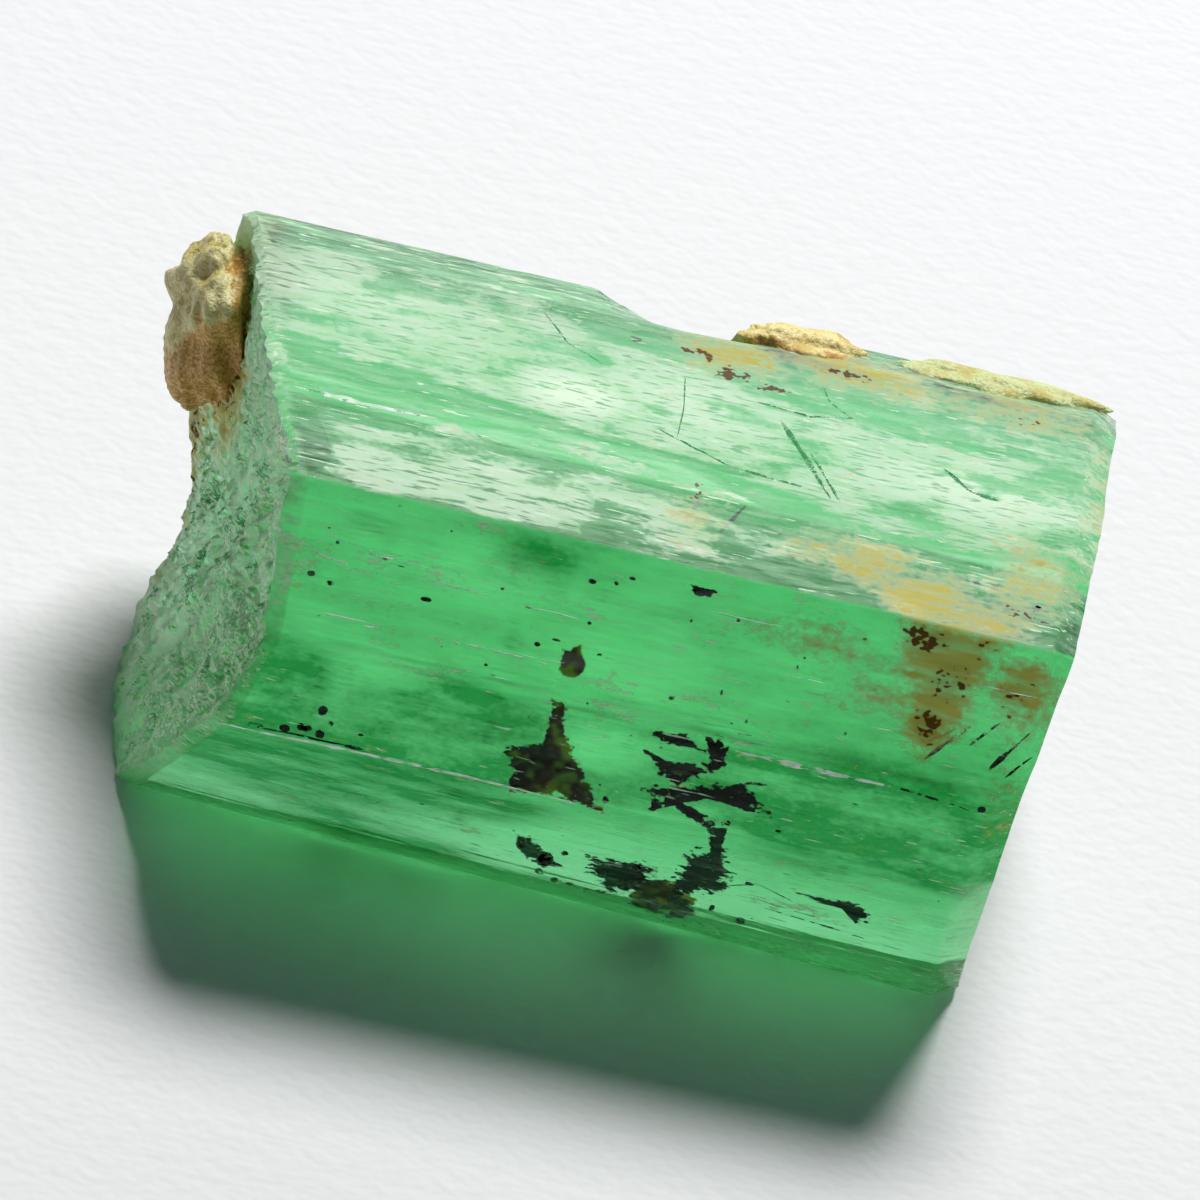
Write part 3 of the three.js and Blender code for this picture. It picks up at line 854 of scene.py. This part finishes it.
# Dark grains: face, x, share across it, length and width.
GRAINS = (
    ("top front", -0.25, 0.22, 0.09, 0.05), ("top front", 0.0, 0.2, 0.06, 0.04),
    ("top front", 0.16, 0.15, 0.08, 0.04), ("top front", 0.88, 0.15, 0.12, 0.05),
    ("top front", -0.85, 0.45, 0.08, 0.03), ("top front", -0.18, 0.46, 0.05, 0.04),
    ("top front", -0.67, 0.65, 0.07, 0.05), ("top front", -0.48, 0.6, 0.09, 0.03),
    ("top front", 0.0, 0.63, 0.05, 0.04), ("top front", -3.17, 0.54, 0.08, 0.06),
    ("top front", -2.95, 0.57, 0.09, 0.05), ("top front", -1.92, 0.54, 0.12, 0.05),
    ("top front", -1.16, 0.38, 0.05, 0.03), ("top front", -2.44, 0.36, 0.06, 0.03),
    ("upper bevel", -2.71, 0.63, 0.1, 0.13), ("upper bevel", 0.45, 0.94, 0.08, 0.1),
    ("upper bevel", -3.36, 0.95, 0.16, 0.05), ("upper bevel", -3.06, 0.92, 0.12, 0.09),
    ("upper bevel", -2.85, 0.86, 0.16, 0.12), ("upper bevel", -2.68, 0.9, 0.1, 0.12),
    ("upper bevel", -2.3, 0.97, 0.2, 0.05), ("upper bevel", -2.6, 0.75, 0.07, 0.07),
    ("lower bevel", 0.07, 0.66, 0.21, 0.45), ("lower bevel", -0.2, 0.57, 0.15, 0.36),
    ("lower bevel", 1.03, 0.52, 0.16, 0.3), ("lower bevel", 0.99, 0.73, 0.15, 0.28),
    ("lower bevel", 0.72, 0.66, 0.09, 0.2), ("lower bevel", 0.25, 0.56, 0.08, 0.16),
    ("lower bevel", 0.07, 0.79, 0.1, 0.2), ("lower bevel", 0.26, 0.84, 0.08, 0.16),
    ("lower bevel", 0.43, 0.84, 0.09, 0.12), ("lower bevel", 0.61, 0.86, 0.07, 0.14),
    ("lower bevel", 0.77, 0.84, 0.1, 0.1), ("lower bevel", 2.3, 0.78, 0.1, 0.2),
    ("lower bevel", 1.96, 0.73, 0.06, 0.2), ("lower bevel", 2.23, 0.43, 0.1, 0.1),
    ("step foot", 3.78, 0.28, 0.09, 0.08), ("step foot", 4.01, 0.24, 0.12, 0.06),
    ("step foot", 4.47, 0.42, 0.12, 0.09), ("top back", -1.15, 0.11, 0.13, 0.07),
    ("top back", -0.18, 0.14, 0.13, 0.1), ("upper bevel", 4.33, 0.06, 0.09, 0.09),
)
# Flakes: face, outline of x and share across, and seed.
BLACK_FLAKES = (
    ("upper bevel", ((0.8, 0.02), (1.15, 0.0), (1.2, 0.1), (1.0, 0.12), (0.85, 0.1)), 61),
    ("upper bevel", ((1.35, 0.0), (1.52, 0.0), (1.56, 0.24), (1.44, 0.32), (1.38, 0.12)), 62),
    ("upper bevel", ((0.8, 0.28), (1.0, 0.35), (1.3, 0.28), (1.32, 0.42), (1.15, 0.56), (0.98, 0.5)), 63),
    ("upper bevel", ((1.0, 0.66), (1.3, 0.6), (1.78, 0.43), (1.86, 0.7), (1.45, 0.68), (1.1, 0.86)), 64),
    ("upper bevel", ((1.15, 0.8), (1.35, 0.8), (1.58, 0.97), (1.5, 1.0), (1.28, 0.9)), 65),
    ("lower bevel", ((1.6, 0.02), (1.78, 0.03), (1.8, 0.2), (1.92, 0.36), (1.78, 0.42), (1.7, 0.2)), 66),
    ("lower bevel", ((1.6, 0.28), (1.85, 0.3), (2.02, 0.5), (1.84, 0.56), (1.62, 0.64), (1.52, 0.44)), 67),
    ("lower bevel", ((1.5, 0.82), (1.7, 0.74), (1.78, 0.84), (1.6, 0.92)), 68),
    ("lower bevel", ((2.95, 0.42), (3.35, 0.4), (3.5, 0.48), (3.4, 0.53), (3.3, 0.46), (2.97, 0.46)), 69),
    ("lower bevel", ((-0.28, 0.52), (-0.05, 0.55), (0.15, 0.68), (0.02, 0.74), (-0.18, 0.64)), 74),
    ("lower bevel", ((0.6, 0.55), (1.1, 0.5), (1.15, 0.7), (0.85, 0.82), (0.7, 0.7)), 75),
    ("top front", ((0.8, 0.11), (1.02, 0.12), (1.02, 0.15), (0.86, 0.15)), 76),
)
BROWN_FLAKES = (
    ("upper bevel", ((-0.36, 0.03), (-0.27, 0.03), (-0.17, 0.32), (0.02, 0.58), (0.32, 1.0), (-0.1, 0.92),
                     (-0.54, 0.98), (-0.62, 0.55), (-0.34, 0.42)), 71),
    ("lower bevel", ((1.12, 0.7), (1.5, 0.6), (1.72, 0.72), (1.58, 0.86), (1.2, 0.88)), 72),
    ("top front", ((-0.38, 0.66), (-0.22, 0.62), (-0.12, 0.72), (-0.2, 0.8), (-0.34, 0.79)), 73),
)
# Dark hairs: face, ends, and width.
DARK_HAIRS = (
    ("lower bevel", ((2.0, 0.5), (2.3, 0.42)), 0.03), ("lower bevel", ((2.22, 0.4), (3.0, 0.54)), 0.025),
    ("lower bevel", ((2.3, 0.55), (3.4, 0.6)), 0.02), ("lower bevel", ((2.48, 0.61), (3.61, 0.66)), 0.045),
    ("upper bevel", ((3.4, 0.02), (4.2, 0.1)), 0.04), ("top front", ((3.62, 0.8), (4.0, 0.56)), 0.06),
    ("top front", ((3.56, 0.72), (3.84, 0.6)), 0.045), ("top front", ((4.3, 0.78), (4.66, 0.5)), 0.06),
    ("top front", ((4.5, 0.8), (4.72, 0.66)), 0.04), ("top front", ((4.05, 0.66), (4.3, 0.5)), 0.035),
    ("upper bevel", ((-3.45, 0.97), (-2.2, 0.97)), 0.03),
    ("lower bevel", ((0.1, 0.82), (0.95, 0.86)), 0.03),
    ("step foot", ((0.74, 0.05), (0.64, 0.3)), 0.05), ("step foot", ((1.22, 0.0), (1.0, 0.42)), 0.05),
)
RANDOM_GRAINS = 60
GRAIN_FACES = (4, 6, 7, 7, 7, 8, 9, 9)  # places in EDGES that they fall on, more often where repeated


class EMERALD_OT_mica(bpy.types.Operator):
    """Seal the mica flakes and grains in the crystal"""

    bl_idname = "emerald.mica"
    bl_label = "Seal mica"

    def execute(self, context):
        chance = np.random.default_rng(SEED)
        grains = [speck(*grain, seed=80 + i) for i, grain in enumerate(GRAINS)]
        for i in range(RANDOM_GRAINS):
            face = FACES[chance.choice(GRAIN_FACES)]
            length, width = 0.015 + 0.05 * chance.random(2) ** 3
            x, across, depth = chance.uniform((-3.4, 0.04, 0.01), (4.5, 0.96, 0.3))
            grains.append(speck(face, x, across, 1.6 * length, width, depth, 130 + i))
        black = frayed_material("Biotite_thick_flakes", "#050401", "#181002", 0.05, 1.7)
        brown = frayed_material("Biotite_thin_flakes", "#5C4410", "#B48820", 0.75, 0.9)
        points, faces = joined(grains)
        piece = place_piece("mica_grains", (points, faces), black)
        add_attribute(piece, "heart", np.full(len(points), GRAIN_HEART))
        flakes = [flake(*row, depth=DEPTHS["black flake"], ragged=0.5) for row in BLACK_FLAKES]
        piece = place_piece("mica_flakes_black", joined(flakes), black)
        add_attribute(piece, "heart", flake_hearts(len(flakes)))
        flakes = [flake(*row, depth=DEPTHS["brown flake"], ragged=0.16) for row in BROWN_FLAKES]
        piece = place_piece("mica_flakes_brown", joined(flakes), brown)
        add_attribute(piece, "heart", flake_hearts(len(flakes)))
        hairs = [thread(*row, DEPTHS["hair"], i) for i, row in enumerate(DARK_HAIRS)]
        points, faces = joined(hairs)
        piece = place_piece("mica_hairs", (points, faces), black)
        add_attribute(piece, "heart", np.full(len(points), HAIR_HEART))
        return {"FINISHED"}


# Hairline cracks in the top face: face, places along them, width.
HAIRLINES = (
    ("top back", ((1.5, 0.53), (1.72, 0.7), (2.1, 1.0)), 0.07),
    ("top back", ((1.85, 0.72), (1.98, 0.82), (2.2, 1.0)), 0.05),
    ("top back", ((0.4, 0.36), (0.43, 0.6), (0.4, 0.82)), 0.02),
    ("top back", ((1.2, 0.42), (1.8, 0.44), (2.24, 0.38)), 0.03),
    ("top back", ((1.9, 0.2), (1.98, 0.3), (2.24, 0.38)), 0.025),
    ("top back", ((0.2, 0.8), (1.0, 0.95), (1.9, 0.98)), 0.025),
    ("top back", ((-1.2, 0.1), (-0.9, 0.3), (-0.5, 0.4)), 0.02),
    ("top back", ((3.3, 0.6), (3.6, 0.72), (3.9, 0.74)), 0.06),
)
# Worn edges and open tubes, painted white as the highlights they catch: face, places along them, width.
BRIGHT_LINES = (
    ("lower bevel", ((-3.72, 0.01), (-3.2, 0.01), (-2.3, 0.0), (-1.0, 0.01), (0.1, 0.04)), 0.13),
    ("upper bevel", ((1.65, 0.0), (2.4, 0.01), (3.3, 0.02)), 0.08),
    ("top front", ((-3.1, 0.3), (-2.6, 0.33)), 0.03), ("top front", ((-3.2, 0.42), (-2.8, 0.44)), 0.035),
    ("step head", ((-3.7, 0.7), (-3.0, 0.72), (-2.2, 0.6)), 0.08),
    ("step foot", ((-3.6, 0.1), (-2.9, 0.05)), 0.03),
)
RANDOM_LINES = 36
LINE_FACES = (4, 5, 6, 7, 7, 7, 7, 8, 9)  # places in EDGES, as for the grains


class EMERALD_OT_cracks(bpy.types.Operator):
    """Open the hairline cracks and the bright growth lines"""

    bl_idname = "emerald.cracks"
    bl_label = "Open cracks"

    def execute(self, context):
        chance = np.random.default_rng(SEED + 1)
        green = frayed_material("Hairline_crack", "#4C9C64", "#58A86C", 0.5, 1.6)
        cracks = [thread(*row, DEPTHS["crack"], i) for i, row in enumerate(HAIRLINES)]
        points, faces = joined(cracks)
        piece = place_piece("hairline_cracks", (points, faces), green)
        add_attribute(piece, "heart", np.full(len(points), LINE_HEART))

        # White threads: worn edges and open tubes, their white partly a painted highlight.
        white = frayed_material("Worn_edge_and_highlight", "#F4FFF4", "#D8FADC", 0.2, 0.6)
        lines = [thread(*row, DEPTHS["bright line"], i) for i, row in enumerate(BRIGHT_LINES)]
        for i in range(RANDOM_LINES):
            face = FACES[chance.choice(LINE_FACES)]
            x, across = chance.uniform((-3.4, 0.04), (4.0, 0.96))
            length, width = chance.uniform((0.15, 0.008), (0.8, 0.02))
            lines.append(thread(face, ((x, across), (x + length, across)), width, 0.0, i))
        points, faces = joined(lines)
        piece = place_piece("bright_growth_lines", (points, faces), white)
        add_attribute(piece, "heart", np.full(len(points), LINE_HEART))
        return {"FINISHED"}


SHEET_HALF, SHEET_TOP = 300.0, -0.02  # of the paper, which lies just under the crystal
AIM = (0.10, 0.0, 0.07)  # from the middle of the CAD box to where the camera and the lights look
KEY_AZIMUTH, KEY_DISTANCE = math.radians(166), 190 * MM
BACKDROP_SIZE, BACKDROP_DISTANCE = 260 * MM, 230 * MM
BACKDROP_AZIMUTH, BACKDROP_HEIGHT = math.radians(176), math.radians(13)
ROOM_HEX = "#DCECFF"
NEAR_CLIP, FAR_CLIP = 10 * MM, 10.0


class EMERALD_OT_stage(bpy.types.Operator):
    """Lay the paper, hang the lights and place the camera"""

    bl_idname = "emerald.stage"
    bl_label = "Set stage"

    def execute(self, context):
        stage = context.scene.emerald_stage
        turn = ((-1, -1), (1, -1), (1, 1), (-1, 1))
        corners = [(x * SHEET_HALF, y * SHEET_HALF, SHEET_TOP) for x, y in turn]
        paper = mesh_object("paper", corners, [(0, 1, 2, 3)], paper_material(stage.paper_hex))

        low, high = (Vector(corner) for corner in CAD_BOX)
        target = (low + high) / 2 + Vector(AIM) * MM

        def direction(azimuth, elevation):
            flat = math.cos(elevation)
            return Vector((math.sin(azimuth) * flat, -math.cos(azimuth) * flat, math.sin(elevation)))

        back = direction(stage.azimuth, stage.elevation)
        camera = bpy.data.objects.new("camera", bpy.data.cameras.new("camera"))
        camera.data.lens = camera.data.sensor_width * stage.distance / stage.width
        camera.data.clip_start = NEAR_CLIP
        camera.data.clip_end = FAR_CLIP
        camera.location = target + back * stage.distance
        camera.rotation_mode = "QUATERNION"
        camera.rotation_quaternion = back.to_track_quat("Z", "Y") @ Quaternion((0, 0, 1), stage.roll)
        context.scene.collection.objects.link(camera)
        context.scene.camera = camera

        lights = (
            ("key", stage.key_power, stage.key_size, KEY_AZIMUTH, stage.key_height, KEY_DISTANCE),
            ("backdrop", stage.backdrop_power, BACKDROP_SIZE, BACKDROP_AZIMUTH, BACKDROP_HEIGHT,
             BACKDROP_DISTANCE),
        )
        for name, power, size, azimuth, height, distance in lights:
            light = bpy.data.objects.new(name, bpy.data.lights.new(name, "AREA"))
            light.data.shape = "DISK"
            light.data.size = size
            light.data.energy = power
            towards = direction(azimuth, height)
            light.location = target + towards * distance
            light.rotation_mode = "QUATERNION"
            light.rotation_quaternion = towards.to_track_quat("Z", "Y")
            context.scene.collection.objects.link(light)

        world = bpy.data.worlds.new("studio")
        world.use_nodes = True
        world.node_tree.nodes["Background"].inputs["Color"].default_value = linear(ROOM_HEX)
        world.node_tree.nodes["Background"].inputs["Strength"].default_value = stage.fill
        context.scene.world = world
        context.scene.view_settings.view_transform = "Standard"
        return {"FINISHED"}


class EMERALD_PT_panel(bpy.types.Panel):
    """Everything that makes up the specimen"""

    bl_label = "Raw emerald"
    bl_idname = "EMERALD_PT_panel"
    bl_space_type = "VIEW_3D"
    bl_region_type = "UI"
    bl_category = "Emerald"

    def draw(self, context):
        for settings in (context.scene.emerald_look, context.scene.emerald_stage):
            for name in settings.__annotations__:
                self.layout.prop(settings, name)
        for operator in OPERATORS:
            self.layout.operator(operator.bl_idname)


OPERATORS = (EMERALD_OT_stage, EMERALD_OT_crystal, EMERALD_OT_crusts, EMERALD_OT_mica, EMERALD_OT_cracks)
CLASSES = (EmeraldSettings, StageSettings, *OPERATORS, EMERALD_PT_panel)


def register():
    for cls in CLASSES:
        bpy.utils.register_class(cls)
    bpy.types.Scene.emerald_look = PointerProperty(type=EmeraldSettings)
    bpy.types.Scene.emerald_stage = PointerProperty(type=StageSettings)


def unregister():
    del bpy.types.Scene.emerald_stage
    del bpy.types.Scene.emerald_look
    for cls in reversed(CLASSES):
        bpy.utils.unregister_class(cls)


def main():
    """Builds everything in order."""
    register()
    bpy.ops.emerald.stage()
    bpy.ops.emerald.crystal()
    bpy.ops.emerald.crusts()
    bpy.ops.emerald.mica()
    bpy.ops.emerald.cracks()


if __name__ == "__main__":
    main()
